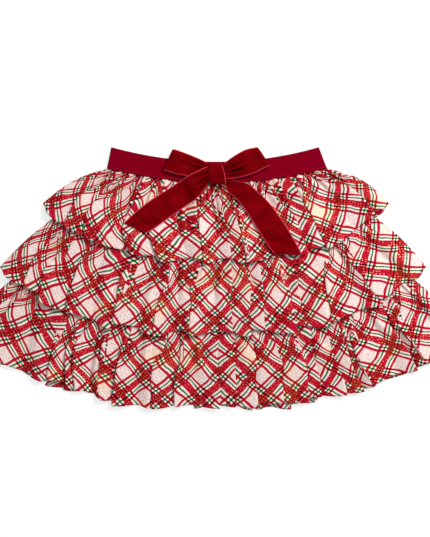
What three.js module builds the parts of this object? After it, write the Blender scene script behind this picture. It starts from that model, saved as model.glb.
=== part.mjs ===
// Child's tiered ruffle skirt laid flat, front up: an elastic waistband, three gathered
// ruffle tiers with a front and a back each, and a ribbon bow. Millimetres, +Z up off the
// surface, +Y towards the waist, +X towards the right of someone looking at the front.
import * as THREE from "three";

// Cloth and clearances
const RUFFLE_WALL = 1.2;
const BAND_WALL = 2.0;
const RIBBON_WALL = 1.2;
const SEAM_GAP = 0.3;
const LAYER_GAP = 0.4;

// Waistband, a flattened loop that lies in a shallow smile
const BAND = {
  shift: 4.6,
  half: 126.5,
  lowerMiddle: 108.7,
  lowerEnd: 125.2,
  upperMiddle: 132.8,
  upperEnd: 149.6,
  hollow: 1.0,
  slantLeft: 5.0,
  slantRight: 9.5,
};
const BAND_POWER = 2;
const BAND_TOP = BAND_WALL * 2 + BAND.hollow;
const BAND_COLUMNS = 22;
const BAND_BEND_STEPS = 6;
const BAND_ROWS = 3;

// Heights of the stacked layers over the surface
const BACK_TOP = RUFFLE_WALL;
const BACK_LIFT = BACK_TOP + LAYER_GAP;
const FRONT_LOW = BACK_TOP + LAYER_GAP;
const FRONT_OVER_LIFT = BACK_LIFT + RUFFLE_WALL + LAYER_GAP;
const HEM_OVER_NEXT = 7.9;

// How a front tier rises from its seam to its hem. down is the share of the way down the
// tier, low the height of its valleys, swing the height of its waves and side the height
// of its side edges.
const TOP_TIER_RISE = [
  { down: 0.0, low: FRONT_LOW, swing: 3.2, side: FRONT_LOW },
  { down: 0.15, low: FRONT_LOW, swing: 4.6, side: FRONT_LOW },
  { down: 0.5, low: 3.4, swing: 5.0, side: FRONT_LOW },
  { down: 0.74, low: HEM_OVER_NEXT, swing: 4.8, side: FRONT_LOW },
  { down: 1.0, low: HEM_OVER_NEXT, swing: 5.4, side: FRONT_LOW },
];
const MIDDLE_TIER_RISE = [
  { down: 0.0, low: FRONT_OVER_LIFT, swing: 2.4, side: FRONT_OVER_LIFT },
  { down: 0.28, low: FRONT_OVER_LIFT, swing: 2.9, side: FRONT_OVER_LIFT },
  { down: 0.46, low: 2.4, swing: 5.2, side: FRONT_LOW },
  { down: 0.6, low: 4.2, swing: 5.2, side: FRONT_LOW },
  { down: 0.78, low: HEM_OVER_NEXT, swing: 5.0, side: FRONT_LOW },
  { down: 1.0, low: HEM_OVER_NEXT, swing: 5.4, side: FRONT_LOW },
];
const BOTTOM_TIER_RISE = [
  { down: 0.0, low: FRONT_OVER_LIFT, swing: 2.4, side: FRONT_OVER_LIFT },
  { down: 0.28, low: FRONT_OVER_LIFT, swing: 2.9, side: FRONT_OVER_LIFT },
  { down: 0.46, low: FRONT_LOW, swing: 5.6, side: FRONT_LOW },
  { down: 1.0, low: FRONT_LOW, swing: 6.2, side: FRONT_LOW },
];

// Folds of the front tiers. at is where the fold line meets the hem, as a share of the hem
// from left to right, and lean is how far the cloth leans over that line, as a share of
// the distance to the next one: plus to the right, minus to the left.
const TOP_FOLDS = [
  { at: 0.095, lean: -0.16 },
  { at: 0.177, lean: -0.14 },
  { at: 0.288, lean: -0.18 },
  { at: 0.375, lean: -0.1 },
  { at: 0.44, lean: 0.12 },
  { at: 0.503, lean: -0.16 },
  { at: 0.555, lean: 0.1 },
  { at: 0.6, lean: 0.18 },
  { at: 0.665, lean: 0.12 },
  { at: 0.745, lean: 0.16 },
  { at: 0.828, lean: 0.18 },
  { at: 0.885, lean: 0.12 },
  { at: 0.945, lean: 0.14 },
];
const MIDDLE_FOLDS = [
  { at: 0.06, lean: -0.14 },
  { at: 0.122, lean: -0.16 },
  { at: 0.19, lean: -0.14 },
  { at: 0.24, lean: 0.1 },
  { at: 0.29, lean: -0.12 },
  { at: 0.335, lean: -0.18 },
  { at: 0.39, lean: 0.14 },
  { at: 0.43, lean: -0.12 },
  { at: 0.475, lean: 0.1 },
  { at: 0.51, lean: -0.14 },
  { at: 0.57, lean: 0.16 },
  { at: 0.612, lean: -0.1 },
  { at: 0.662, lean: 0.18 },
  { at: 0.715, lean: 0.1 },
  { at: 0.782, lean: 0.18 },
  { at: 0.835, lean: 0.14 },
  { at: 0.895, lean: 0.16 },
  { at: 0.948, lean: 0.12 },
];
const BOTTOM_FOLDS = [
  { at: 0.04, lean: -0.12 },
  { at: 0.095, lean: -0.14 },
  { at: 0.145, lean: -0.16 },
  { at: 0.195, lean: 0.14 },
  { at: 0.235, lean: -0.12 },
  { at: 0.273, lean: -0.16 },
  { at: 0.318, lean: -0.18 },
  { at: 0.358, lean: 0.14 },
  { at: 0.405, lean: -0.16 },
  { at: 0.455, lean: -0.1 },
  { at: 0.503, lean: 0.12 },
  { at: 0.534, lean: 0.16 },
  { at: 0.568, lean: 0.18 },
  { at: 0.618, lean: 0.16 },
  { at: 0.665, lean: 0.18 },
  { at: 0.718, lean: -0.12 },
  { at: 0.76, lean: 0.14 },
  { at: 0.807, lean: 0.16 },
  { at: 0.85, lean: 0.18 },
  { at: 0.895, lean: 0.14 },
  { at: 0.95, lean: 0.12 },
];

// The three tiers seen from above. seam and hem are smile curves: middle and end are their
// heights up the skirt at the centre and at the sides, and the powers shape each half.
// gathers is the count of gathers in each fold at the seam, fade the share of the way down
// at which they have run out, puff how far the cloth swells out at each side, and columns the
// mesh steps in each fold.
const TIERS = [
  {
    name: "tier1",
    seam: { shift: 4.6, half: 126.5, middle: 108.3, end: 124.8, left: 2, right: 2 },
    hem: { shift: 3.5, half: 199, middle: 20, end: 85, left: 4, right: 2.9 },
    puff: { left: 6, right: 8 },
    rise: TOP_TIER_RISE,
    folds: TOP_FOLDS,
    gathers: 2,
    fade: 0.75,
    columns: 8,
    rows: [0, 0.1, 0.3, 0.55, 0.76, 1],
    backLift: 0,
  },
  {
    name: "tier2",
    seam: { shift: 2, half: 171, middle: 39.7, end: 78.5, left: 3, right: 3 },
    hem: { shift: 0, half: 245, middle: -63.3, end: 12, left: 3, right: 3 },
    puff: { left: 3.5, right: 4.5 },
    rise: MIDDLE_TIER_RISE,
    folds: MIDDLE_FOLDS,
    gathers: 2,
    fade: 0.5,
    columns: 8,
    rows: [0, 0.2, 0.4, 0.6, 0.78, 1],
    backLift: BACK_LIFT,
  },
  {
    name: "tier3",
    seam: { shift: 0, half: 218.5, middle: -43.1, end: 7.5, left: 3, right: 3 },
    hem: { shift: 0, half: 293, middle: -148.7, end: -62.7, left: 2.5, right: 2.5 },
    puff: { left: 3, right: 3 },
    rise: BOTTOM_TIER_RISE,
    folds: BOTTOM_FOLDS,
    gathers: 1,
    fade: 0.5,
    columns: 5,
    rows: [0, 0.14, 0.28, 0.46, 0.72, 1],
    backLift: BACK_LIFT,
  },
];
// Shares of the tier: how far in from a side the swell reaches, the rounded side edges, the
// hem's scallops and where they start, and how far the back panels stay inside the fronts
const PUFF_REACH = 0.16;
const SIDE_ROUND = 0.035;
const HEM_SCALLOP = 0.022;
const SCALLOP_START = 0.6;
const BACK_INSET = 0.012;
const BACK_COLUMNS = 26;
const BACK_ROWS = [0, 0.24, 0.32, 0.44, 0.72, 1];
const BACK_LIFT_END = 0.32;
const BACK_FLAT_START = 0.44;

// Bow. The loops are flattened ribbon loops, wide at their folded ends. Each row gives the
// two ribbon edges at one station, from the knot outwards.
const KNOT = { x: 4.4, y: 120.1, wide: 19.5, high: 22.0, low: BAND_TOP + SEAM_GAP, top: 14.2 };
const KNOT_PLEATS = 3;
const KNOT_PLEAT_DEPTH = 0.05;
const KNOT_END_TAPER = 0.14;
const KNOT_SQUARENESS = 0.62;
const KNOT_RINGS = 10;
const KNOT_SIDES = 16;
const LOOP_INNER = 2.6;
const LOOP_BEND_STEPS = 5;
const LEFT_LOOP = {
  name: "bow_loop_left",
  low: BAND_TOP + SEAM_GAP,
  edges: [
    { upperX: -6.2, upperY: 131.5, lowerX: -6.2, lowerY: 111.5 },
    { upperX: -21.5, upperY: 138.6, lowerX: -19.5, lowerY: 116.2 },
    { upperX: -37.5, upperY: 144.4, lowerX: -33.0, lowerY: 117.8 },
    { upperX: -44.0, upperY: 146.9, lowerX: -52.6, lowerY: 122.4 },
  ],
};
const RIGHT_LOOP = {
  name: "bow_loop_right",
  low: BAND_TOP + SEAM_GAP + RIBBON_WALL + SEAM_GAP,
  edges: [
    { upperX: 15.0, upperY: 131.5, lowerX: 15.0, lowerY: 112.6 },
    { upperX: 26.0, upperY: 140.2, lowerX: 24.0, lowerY: 114.0 },
    { upperX: 36.5, upperY: 146.0, lowerX: 41.0, lowerY: 117.6 },
    { upperX: 49.0, upperY: 149.0, lowerX: 62.4, lowerY: 127.4 },
  ],
};
const LOOP_ACROSS = 4;

// Ribbon tails, by the two edges of the ribbon. lift is the height of the ribbon's middle
// where it lies on the left loop, and nothing where it lies on the top tier.
const LEFT_LOOP_TOP = LEFT_LOOP.low + RIBBON_WALL * 2 + LOOP_INNER;
const OVER_LOOP = LEFT_LOOP_TOP + SEAM_GAP + RIBBON_WALL / 2;
const LEFT_TAIL = [
  { upperX: -6.2, upperY: 127.2, lowerX: -6.2, lowerY: 104.8, lift: OVER_LOOP },
  { upperX: -14.5, upperY: 123.7, lowerX: -13.0, lowerY: 96.0, lift: OVER_LOOP },
  { upperX: -29.0, upperY: 116.2, lowerX: -21.0, lowerY: 88.8, lift: OVER_LOOP },
  { upperX: -47.0, upperY: 104.4, lowerX: -34.0, lowerY: 79.4 },
  { upperX: -70.2, upperY: 89.6, lowerX: -52.9, lowerY: 66.4 },
  { upperX: -88.0, upperY: 75.6, lowerX: -66.0, lowerY: 56.8 },
  { upperX: -102.7, upperY: 62.1, lowerX: -75.3, lowerY: 51.2 },
];
const RIGHT_TAIL = [
  { upperX: 15.4, upperY: 111.4, lowerX: 15.0, lowerY: 105.8 },
  { upperX: 38.4, upperY: 108.0, lowerX: 17.0, lowerY: 98.6 },
  { upperX: 52.5, upperY: 97.4, lowerX: 30.0, lowerY: 86.6 },
  { upperX: 65.5, upperY: 84.6, lowerX: 42.6, lowerY: 68.6 },
  { upperX: 79.0, upperY: 66.2, lowerX: 52.0, lowerY: 53.4 },
  { upperX: 92.0, upperY: 45.4, lowerX: 61.5, lowerY: 38.4 },
  { upperX: 102.4, upperY: 25.6, lowerX: 70.2, lowerY: 27.0 },
];
const TAIL_ACROSS = 4;
const TAIL_STEPS = 3;

// Colours read from the cloth
const CRIMSON_KNIT = { color: 0x85001e, roughness: 0.8, metalness: 0 };
const RED_VELVET = { color: 0x7d000c, roughness: 0.9, metalness: 0 };
const PLAID_GAUZE = { color: 0xc2555c, roughness: 0.75, metalness: 0 };

// Small helpers
const mix = (a, b, share) => a + (b - a) * share;
const clamp01 = (value) => Math.min(1, Math.max(0, value));

function smooth(from, to, value) {
  const share = clamp01((value - from) / (to - from));
  return share * share * (3 - 2 * share);
}

function readTable(rows, key, column, value) {
  if (value <= rows[0][key]) return rows[0][column];
  for (let i = 1; i < rows.length; i += 1) {
    const before = rows[i - 1];
    const after = rows[i];
    if (value <= after[key]) {
      return mix(before[column], after[column], (value - before[key]) / (after[key] - before[key]));
    }
  }
  return rows[rows.length - 1][column];
}

// Smile curves, walked in even steps of their length
function smilePoint(line, side) {
  const power = side < 0 ? line.left : line.right;
  const y = mix(line.middle, line.end, Math.abs(side) ** power);
  return new THREE.Vector2(line.shift + line.half * side, y);
}

const SMILE_STEPS = 240;

function walkSmile(line) {
  const points = [];
  const lengths = [0];
  for (let i = 0; i <= SMILE_STEPS; i += 1) {
    points.push(smilePoint(line, (2 * i) / SMILE_STEPS - 1));
    if (i > 0) lengths.push(lengths[i - 1] + points[i].distanceTo(points[i - 1]));
  }
  const whole = lengths[SMILE_STEPS];
  return (share) => {
    const wanted = clamp01(share) * whole;
    let i = lengths.findIndex((length) => length >= wanted);
    i = Math.max(1, i);
    const part = (wanted - lengths[i - 1]) / (lengths[i] - lengths[i - 1]);
    return points[i - 1].clone().lerp(points[i], part);
  };
}

// Closed walls. grid[row][column] are points on the middle of the cloth, and the wall is
// half its thickness to each side of them.
function gridNormals(grid) {
  return grid.map((row, r) => row.map((_, c) => {
    const up = grid[Math.max(0, r - 1)][c];
    const down = grid[Math.min(grid.length - 1, r + 1)][c];
    const left = row[Math.max(0, c - 1)];
    const right = row[Math.min(row.length - 1, c + 1)];
    const along = right.clone().sub(left);
    const across = down.clone().sub(up);
    return across.cross(along).normalize();
  }));
}

function wallFromGrid(grid, thickness) {
  const normals = gridNormals(grid);
  const sheet = (offset) => grid.map((row, r) => row.map((point, c) => (
    point.clone().addScaledVector(normals[r][c], offset)
  )));
  return closedWall(sheet(thickness / 2), sheet(-thickness / 2));
}

function closedWall(upper, lower) {
  const rows = upper.length;
  const columns = upper[0].length;
  const positions = [...upper.flat(), ...lower.flat()].flatMap((point) => point.toArray());
  const faces = [];
  const top = (r, c) => r * columns + c;
  const under = (r, c) => rows * columns + r * columns + c;
  const quad = (a, b, c, d) => faces.push(a, b, c, a, c, d);
  for (let r = 0; r < rows - 1; r += 1) {
    for (let c = 0; c < columns - 1; c += 1) {
      quad(top(r, c), top(r + 1, c), top(r + 1, c + 1), top(r, c + 1));
      quad(under(r, c), under(r, c + 1), under(r + 1, c + 1), under(r + 1, c));
    }
    quad(top(r, 0), under(r, 0), under(r + 1, 0), top(r + 1, 0));
    const last = columns - 1;
    quad(top(r, last), top(r + 1, last), under(r + 1, last), under(r, last));
  }
  for (let c = 0; c < columns - 1; c += 1) {
    quad(top(0, c), top(0, c + 1), under(0, c + 1), under(0, c));
    const last = rows - 1;
    quad(top(last, c), under(last, c), under(last, c + 1), top(last, c + 1));
  }
  return meshGeometry(positions, faces);
}

function meshGeometry(positions, faces) {
  const geometry = new THREE.BufferGeometry();
  geometry.setAttribute("position", new THREE.Float32BufferAttribute(positions, 3));
  geometry.setIndex(faces);
  geometry.computeVertexNormals();
  return geometry;
}

function namedMesh(name, geometry, finish) {
  const mesh = new THREE.Mesh(geometry, new THREE.MeshStandardMaterial(finish));
  mesh.name = name;
  return mesh;
}

// Ruffles. A tier's points are found by their share across, from the left side to the
// right, and their share down, from the seam to the hem.
function planOf(tier) {
  const seam = walkSmile(tier.seam);
  const hem = walkSmile(tier.hem);
  const outwards = (share, sign) => {
    const edge = hem(share).sub(seam(share)).normalize();
    return new THREE.Vector2(-sign * edge.y, sign * edge.x);
  };
  const leftOut = outwards(0, -1);
  const rightOut = outwards(1, 1);
  return (across, down) => {
    const swell = Math.sin(Math.PI * clamp01(down));
    const left = tier.puff.left * swell * (1 - smooth(0, PUFF_REACH, across));
    const right = tier.puff.right * swell * smooth(1 - PUFF_REACH, 1, across);
    const place = seam(across).lerp(hem(across), down);
    return place.addScaledVector(leftOut, left).addScaledVector(rightOut, right);
  };
}

// The share across at which each fold line and each wave between two lines lies
function foldSpans(tier) {
  const lines = [0, ...tier.folds.map((fold) => fold.at), 1];
  return lines.slice(1).map((line, i) => ({
    from: lines[i],
    to: line,
    lean: tier.folds[Math.min(i, tier.folds.length - 1)].lean,
  }));
}

function frontPoint(tier, plan, span, phase, down) {
  const wide = span.to - span.from;
  const fold = (1 - Math.cos(2 * Math.PI * phase)) / 2;
  const gather = (1 - Math.cos(2 * Math.PI * phase * tier.gathers)) / 2;
  const gathered = 1 - smooth(0, tier.fade, down);
  const wave = mix(fold, gather, gathered);
  const leaned = phase + span.lean * fold * (1 - gathered);
  const across = span.from + wide * leaned;
  const side = clamp01(Math.min(across, 1 - across) / SIDE_ROUND);
  const round = Math.sqrt(1 - (1 - side) ** 2);
  const low = readTable(tier.rise, "down", "low", down);
  const swing = readTable(tier.rise, "down", "swing", down);
  const edge = readTable(tier.rise, "down", "side", down);
  const height = mix(edge, low + swing * wave, round) + RUFFLE_WALL / 2;
  const hang = down + HEM_SCALLOP * (fold - 0.5) * smooth(SCALLOP_START, 1, down) * round;
  const place = plan(across, hang);
  return new THREE.Vector3(place.x, place.y, height);
}

function ruffleFront(tier) {
  const plan = planOf(tier);
  const spans = foldSpans(tier);
  const grid = tier.rows.map((down) => {
    const row = [];
    spans.forEach((span) => {
      for (let i = 0; i < tier.columns; i += 1) {
        row.push(frontPoint(tier, plan, span, i / tier.columns, down));
      }
    });
    row.push(frontPoint(tier, plan, spans[spans.length - 1], 1, down));
    return row;
  });
  return namedMesh(`${tier.name}_front`, wallFromGrid(grid, RUFFLE_WALL), PLAID_GAUZE);
}

// The back panels lie on the surface, each with its seam part lifted over the hem before it
function ruffleBack(tier) {
  const plan = planOf(tier);
  const level = (down) => tier.backLift * (1 - smooth(BACK_LIFT_END, BACK_FLAT_START, down));
  const sheet = (height) => BACK_ROWS.map((down) => {
    const row = [];
    for (let c = 0; c <= BACK_COLUMNS; c += 1) {
      const across = mix(BACK_INSET, 1 - BACK_INSET, c / BACK_COLUMNS);
      const place = plan(across, down * (1 - BACK_INSET));
      row.push(new THREE.Vector3(place.x, place.y, level(down) + height));
    }
    return row;
  });
  return namedMesh(`${tier.name}_back`, closedWall(sheet(RUFFLE_WALL), sheet(0)), PLAID_GAUZE);
}

// Waistband. Its section from front to back is a flat ring, and its ends slant outwards
// towards the lower edge.
function bandLoop(inset) {
  const halfHigh = BAND_TOP / 2 - inset;
  const points = [];
  const straight = BAND.half - BAND_TOP / 2;
  const run = (sign) => {
    for (let i = 0; i <= BAND_COLUMNS; i += 1) {
      const share = (2 * i) / BAND_COLUMNS - 1;
      points.push({ across: sign * straight * share, high: BAND_TOP / 2 + sign * halfHigh });
    }
  };
  const bend = (sign) => {
    for (let i = 1; i < BAND_BEND_STEPS; i += 1) {
      const angle = (Math.PI * i) / BAND_BEND_STEPS;
      points.push({
        across: sign * (straight + halfHigh * Math.sin(angle)),
        high: BAND_TOP / 2 + sign * halfHigh * Math.cos(angle),
      });
    }
  };
  run(1);
  bend(1);
  run(-1);
  bend(-1);
  return points;
}

function waistband() {
  const rings = [];
  const place = (point, up) => {
    const side = point.across / BAND.half;
    const curve = Math.min(1, Math.abs(side)) ** BAND_POWER;
    const lower = mix(BAND.lowerMiddle, BAND.lowerEnd, curve);
    const upper = mix(BAND.upperMiddle, BAND.upperEnd, curve);
    const slant = side < 0 ? BAND.slantLeft : BAND.slantRight;
    const slanted = point.across - slant * side * up;
    return [BAND.shift + slanted, mix(lower, upper, up), point.high];
  };
  const outer = bandLoop(0);
  const inner = bandLoop(BAND_WALL);
  for (let r = 0; r <= BAND_ROWS; r += 1) {
    rings.push(outer.map((point) => place(point, r / BAND_ROWS)));
  }
  for (let r = BAND_ROWS; r >= 0; r -= 1) {
    rings.push(inner.map((point) => place(point, r / BAND_ROWS)));
  }
  return namedMesh("waistband", closedRings(rings), CRIMSON_KNIT);
}

// Rings of the same count of points, joined each to the next and the last to the first
function closedRings(rings) {
  const count = rings[0].length;
  const faces = [];
  rings.forEach((_, r) => {
    const here = r * count;
    const next = ((r + 1) % rings.length) * count;
    for (let i = 0; i < count; i += 1) {
      const j = (i + 1) % count;
      faces.push(here + i, here + j, next + j, here + i, next + j, next + i);
    }
  });
  return meshGeometry(rings.flat(2), faces);
}

// Bow loop: a ribbon that runs out of the knot, turns over at its far end and comes back
function loopPath(loop) {
  const lowHeight = loop.low + RIBBON_WALL / 2;
  const highHeight = lowHeight + RIBBON_WALL + LOOP_INNER;
  const middle = (lowHeight + highHeight) / 2;
  const radius = (highHeight - lowHeight) / 2;
  const last = loop.edges.length - 1;
  const path = loop.edges.map((_, i) => ({ station: i, out: 0, height: lowHeight }));
  for (let i = 1; i < LOOP_BEND_STEPS; i += 1) {
    const angle = (Math.PI * i) / LOOP_BEND_STEPS;
    path.push({
      station: last,
      out: radius * Math.sin(angle),
      height: middle - radius * Math.cos(angle),
    });
  }
  for (let i = last; i >= 0; i -= 1) path.push({ station: i, out: 0, height: highHeight });
  return path;
}

function bowLoop(loop) {
  const outwards = Math.sign(loop.edges[loop.edges.length - 1].upperX - loop.edges[0].upperX);
  const grid = loopPath(loop).map(({ station, out, height }) => {
    const edge = loop.edges[station];
    const row = [];
    for (let c = 0; c <= LOOP_ACROSS; c += 1) {
      const share = c / LOOP_ACROSS;
      const x = mix(edge.upperX, edge.lowerX, share) + outwards * out;
      row.push(new THREE.Vector3(x, mix(edge.upperY, edge.lowerY, share), height));
    }
    return row;
  });
  return facingOut(loop.name, grid);
}

function facingOut(name, grid) {
  const outward = wallVolume(wallFromGrid(grid, RIBBON_WALL)) > 0;
  const ordered = outward ? grid : grid.map((row) => [...row].reverse());
  return namedMesh(name, wallFromGrid(ordered, RIBBON_WALL), RED_VELVET);
}

function wallVolume(geometry) {
  const places = geometry.attributes.position;
  const corner = (i) => new THREE.Vector3().fromBufferAttribute(places, geometry.index.getX(i));
  let volume = 0;
  for (let i = 0; i < geometry.index.count; i += 3) {
    volume += corner(i).dot(corner(i + 1).cross(corner(i + 2))) / 6;
  }
  return volume;
}

// Ribbon tails
function topTierCrest(x, y) {
  const tier = TIERS[0];
  const side = (x - tier.seam.shift) / tier.seam.half;
  const seamY = smilePoint(tier.seam, side).y;
  const hemY = smilePoint(tier.hem, (x - tier.hem.shift) / tier.hem.half).y;
  const down = clamp01((seamY - y) / (seamY - hemY));
  const low = readTable(tier.rise, "down", "low", down);
  const swing = readTable(tier.rise, "down", "swing", down);
  return low + swing + RUFFLE_WALL;
}

function tailPoint(row, share) {
  const x = mix(row.upperX, row.lowerX, share);
  const y = mix(row.upperY, row.lowerY, share);
  const resting = topTierCrest(x, y) + LAYER_GAP + RIBBON_WALL / 2;
  return new THREE.Vector3(x, y, Math.max(row.lift ?? 0, resting));
}

function bowTail(name, rows) {
  const grid = [];
  rows.slice(1).forEach((after, r) => {
    for (let step = 0; step < TAIL_STEPS; step += 1) {
      grid.push(tailRow(rows[r], after, step / TAIL_STEPS));
    }
  });
  grid.push(tailRow(rows[rows.length - 2], rows[rows.length - 1], 1));
  return facingOut(name, grid);
}

function tailRow(before, after, along) {
  const row = [];
  for (let c = 0; c <= TAIL_ACROSS; c += 1) {
    const share = c / TAIL_ACROSS;
    row.push(tailPoint(before, share).lerp(tailPoint(after, share), along));
  }
  return row;
}

// Knot: the ribbon wrapped round the middle of the bow, a firm pad with pulled-in pleats
const squarish = (value) => Math.sign(value) * Math.abs(value) ** KNOT_SQUARENESS;

function knotPoint(along, angle) {
  const taper = 1 - KNOT_END_TAPER * along * along;
  const sideways = squarish(Math.cos(angle));
  const upwards = squarish(Math.sin(angle));
  const pleat = 1 - KNOT_PLEAT_DEPTH * (1 + Math.cos(KNOT_PLEATS * Math.PI * sideways));
  const middle = (KNOT.top + KNOT.low) / 2;
  const reach = ((KNOT.top - KNOT.low) / 2) * pleat * (upwards > 0 ? taper : 1);
  return [
    KNOT.x + (sideways * KNOT.wide * taper) / 2,
    KNOT.y + (along * KNOT.high) / 2,
    middle + upwards * reach,
  ];
}

function bowKnot() {
  const positions = [];
  const faces = [];
  for (let r = 0; r <= KNOT_RINGS; r += 1) {
    for (let i = 0; i < KNOT_SIDES; i += 1) {
      const angle = (2 * Math.PI * i) / KNOT_SIDES;
      positions.push(...knotPoint((2 * r) / KNOT_RINGS - 1, angle));
    }
  }
  for (let r = 0; r < KNOT_RINGS; r += 1) {
    for (let i = 0; i < KNOT_SIDES; i += 1) {
      const a = r * KNOT_SIDES + i;
      const b = r * KNOT_SIDES + ((i + 1) % KNOT_SIDES);
      faces.push(a, a + KNOT_SIDES, b, b, a + KNOT_SIDES, b + KNOT_SIDES);
    }
  }
  const far = KNOT_RINGS * KNOT_SIDES;
  for (let i = 1; i < KNOT_SIDES - 1; i += 1) {
    faces.push(0, i, i + 1, far, far + i + 1, far + i);
  }
  return namedMesh("bow_knot", meshGeometry(positions, faces), RED_VELVET);
}

const skirt = new THREE.Group();
skirt.name = "tiered_ruffle_skirt";
skirt.add(waistband());
TIERS.forEach((tier) => skirt.add(ruffleFront(tier), ruffleBack(tier)));
skirt.add(bowLoop(LEFT_LOOP), bowLoop(RIGHT_LOOP), bowKnot());
skirt.add(bowTail("bow_tail_left", LEFT_TAIL), bowTail("bow_tail_right", RIGHT_TAIL));
skirt.updateMatrixWorld(true);

export default skirt;
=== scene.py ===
# %% [markdown]
# # A tiered ruffle skirt, laid flat
#
# The skirt is a closed elastic waistband, three gathered ruffle tiers of thin plaid cloth and
# a velvet ribbon bow. The solid model gives each piece its size and place. This lesson gives
# the cloth its folds, its weave and its light. It starts by loading that solid model, and
# keeps its box.

import bpy
import numpy as np
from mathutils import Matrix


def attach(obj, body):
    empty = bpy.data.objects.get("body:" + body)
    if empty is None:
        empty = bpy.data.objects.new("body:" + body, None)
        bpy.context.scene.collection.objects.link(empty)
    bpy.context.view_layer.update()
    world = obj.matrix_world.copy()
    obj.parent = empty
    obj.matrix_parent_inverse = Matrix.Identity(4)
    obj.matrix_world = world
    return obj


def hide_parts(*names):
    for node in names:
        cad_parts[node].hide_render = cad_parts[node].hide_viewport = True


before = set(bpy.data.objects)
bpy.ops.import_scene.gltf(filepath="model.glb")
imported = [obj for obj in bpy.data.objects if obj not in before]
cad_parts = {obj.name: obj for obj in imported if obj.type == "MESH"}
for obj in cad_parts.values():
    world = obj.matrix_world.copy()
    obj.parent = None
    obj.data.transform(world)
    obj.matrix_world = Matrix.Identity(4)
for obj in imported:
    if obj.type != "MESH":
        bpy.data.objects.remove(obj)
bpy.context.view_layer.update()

MM = 0.001

# %% [markdown]
# ## Camera
#
# The skirt is photographed from straight above, so the camera looks down along Z with the
# waist at the top of the picture. A long lens from far away keeps the sides free of
# perspective. The camera looks past the middle of the skirt by a few millimetres, because
# the garment isn't centred in its picture, and its lowest tier runs out at both sides.

# %% Camera
PICTURE_WIDTH = 494.5 * MM
CAMERA_HEIGHT = 2.4
SENSOR = 36.0
CLIP_END = 60.0
LOOK_AT = (2.3 * MM, 10.3 * MM)

camera_data = bpy.data.cameras.new("camera")
camera_data.sensor_fit = "HORIZONTAL"
camera_data.sensor_width = SENSOR
camera_data.lens = SENSOR * CAMERA_HEIGHT / PICTURE_WIDTH
camera_data.clip_end = CLIP_END
camera = bpy.data.objects.new("camera", camera_data)
camera.location = (LOOK_AT[0], LOOK_AT[1], CAMERA_HEIGHT)
bpy.context.collection.objects.link(camera)
bpy.context.scene.camera = camera
print("lens (mm):", round(camera_data.lens, 1))

# %% [markdown]
# ## Light and floor
#
# The picture is a bright cut-out: a floor that is almost pure white, and one soft light from
# the upper right that leaves faint shadows at the left and below the hem. A large area lamp
# gives those soft edges, and the world fills the rest, so that no fold goes black.

# %% Light and floor
FLOOR_SIZE = 24.0
FLOOR_LEVEL = -0.2 * MM
WORLD_STRENGTH = 0.5
KEY_PLACE = (0.75, 0.8, 1.25)
KEY_SIZE = 0.6
KEY_WATTS = 27.0
FLOOR_GREY = (0.3, 0.3, 0.3)
FLOOR_ROUGH = 0.9
FLOOR_GLOW = 0.72


def plain_material(name, color, roughness):
    material = bpy.data.materials.new(name)
    material.use_nodes = True
    shader = material.node_tree.nodes["Principled BSDF"]
    shader.inputs["Base Color"].default_value = (*color, 1)
    shader.inputs["Roughness"].default_value = roughness
    return material


bpy.ops.object.select_all(action="DESELECT")
bpy.ops.mesh.primitive_plane_add(size=FLOOR_SIZE, location=(0, 0, FLOOR_LEVEL))
floor = bpy.context.object
floor.name = "floor"
paper = plain_material("white_paper", FLOOR_GREY, FLOOR_ROUGH)
paper_shader = paper.node_tree.nodes["Principled BSDF"]
paper_shader.inputs["Emission Color"].default_value = (1, 1, 1, 1)
paper_shader.inputs["Emission Strength"].default_value = FLOOR_GLOW
floor.data.materials.append(paper)

world = bpy.data.worlds.new("studio")
world.use_nodes = True
world.node_tree.nodes["Background"].inputs["Color"].default_value = (1, 1, 1, 1)
world.node_tree.nodes["Background"].inputs["Strength"].default_value = WORLD_STRENGTH
bpy.context.scene.world = world
bpy.context.scene.view_settings.view_transform = "Standard"

key_data = bpy.data.lights.new("key", "AREA")
key_data.size = KEY_SIZE
key_data.energy = KEY_WATTS
key = bpy.data.objects.new("key", key_data)
key.location = KEY_PLACE
bpy.context.collection.objects.link(key)
aim = key.constraints.new("TRACK_TO")
aim.target = floor
print("floor and light are in place")

# %% [markdown]
# ## Plaid gauze
#
# The ruffles are cut on the bias from one plaid: a cream ground, thin red lines, green lines
# between white ones, and a broad red band with gold flecks. The same row of stripes runs both
# ways. Where two stripes cross, thin dyed threads show through each other, so their colours
# multiply: red over red goes darker, green over red goes almost black, and white stays white.
# The pattern has to follow the cloth into every fold, so it reads the cloth's own UV map, in
# metres of flat cloth, turned by 45 degrees for the bias.

# %% Stripes of the plaid
CREAM = (0.9, 0.81, 0.785)
WHITE = (0.94, 0.905, 0.87)
RED = (0.535, 0.002, 0.028)
GREEN = (0.02, 0.19, 0.036)
STRIPES = [
    # name, width in mm, dye
    ("ground", 13.9, CREAM),
    ("thin red", 2.7, RED),
    ("white", 1.95, WHITE),
    ("green", 1.5, GREEN),
    ("white", 1.95, WHITE),
    ("broad red", 7.3, RED),
    ("white", 1.95, WHITE),
    ("green", 1.5, GREEN),
    ("white", 1.95, WHITE),
    ("thin red", 2.7, RED),
]
REPEAT = sum(width for _, width, _ in STRIPES) * MM
BIAS_ANGLE = np.radians(45)
print("plaid repeat (mm):", round(REPEAT / MM, 1))


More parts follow.
